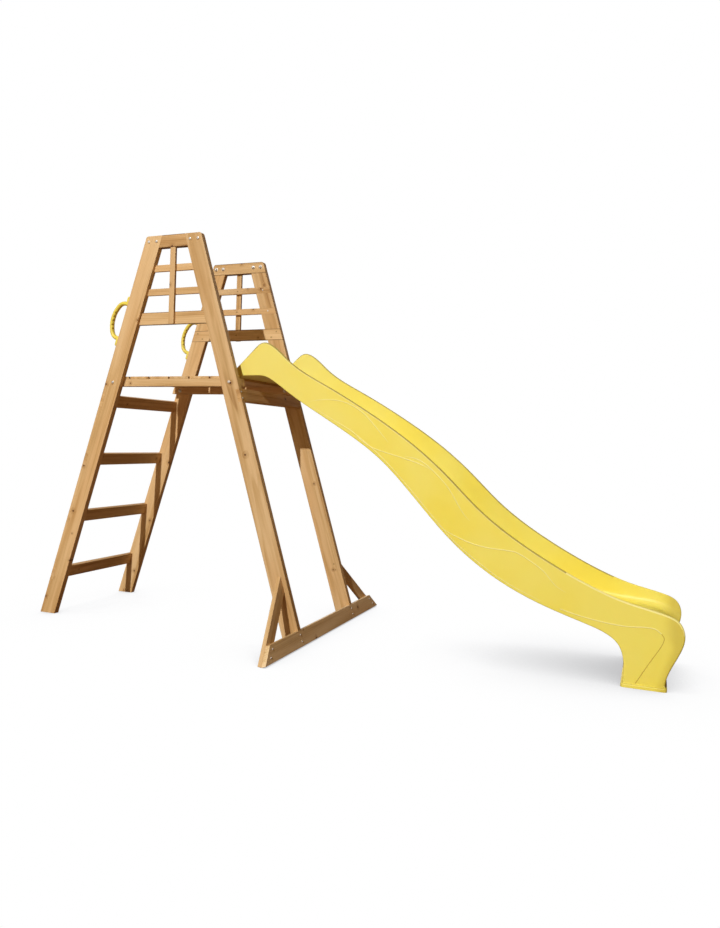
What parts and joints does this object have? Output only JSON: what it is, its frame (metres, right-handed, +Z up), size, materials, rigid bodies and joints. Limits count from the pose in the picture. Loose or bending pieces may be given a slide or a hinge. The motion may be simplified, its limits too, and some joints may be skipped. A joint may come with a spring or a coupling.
{
  "type": "timber slide tower",
  "caption": "Free-standing timber A-frame play tower with a ladder, a slatted deck between lattice sides, curved grab handles and a one-piece wave slide.",
  "frame": {"origin": "middle of the footprint, on the ground", "axes": "+X level, from the ladder towards the foot of the slide; +Y level, to the left of a child who climbs the ladder; +Z up"},
  "size_m": [2.9969, 1.2776, 1.86],
  "materials": {
    "timber": "honey-coloured wood stain, satin",
    "slide_plastic": "yellow moulded polyethylene, satin",
    "handle_plastic": "bright yellow moulded plastic",
    "steel": "zinc plated"
  },
  "bodies": {
    "root": {"base_board": "timber", "base_board_screws": "steel", "bearer_bolts": "steel", "bearer_left": "timber", "bearer_nuts": "steel", "bearer_right": "timber", "bearer_washers": "steel", "brace_left": "timber", "brace_right": "timber", "brace_screws": "steel", "cross_rail": "timber", "cross_rail_screws": "steel", "deck_screws": "steel", "deck_slat_1": "timber", "deck_slat_2": "timber", "deck_slat_3": "timber", "deck_slat_4": "timber", "deck_slat_5": "timber", "deck_slat_6": "timber", "grab_handle_left": "handle_plastic", "grab_handle_right": "handle_plastic", "guard_rail_left": "timber", "guard_rail_right": "timber", "guard_rail_screws": "steel", "handle_screws": "steel", "lattice_slat_lower_left": "timber", "lattice_slat_lower_right": "timber", "lattice_slat_upper_left": "timber", "lattice_slat_upper_right": "timber", "lattice_upright_left": "timber", "lattice_upright_right": "timber", "leg_ladder_left": "timber", "leg_ladder_right": "timber", "leg_slide_left": "timber", "leg_slide_right": "timber", "rung_1": "timber", "rung_2": "timber", "rung_3": "timber", "rung_4": "timber", "rung_screws": "steel", "slat_screws": "steel", "slide": "slide_plastic", "slide_screws": "steel", "top_board_left": "timber", "top_board_right": "timber", "top_bolts": "steel", "top_nuts": "steel", "top_washers": "steel", "upright_screws": "steel"}
  },
  "joints": []
}
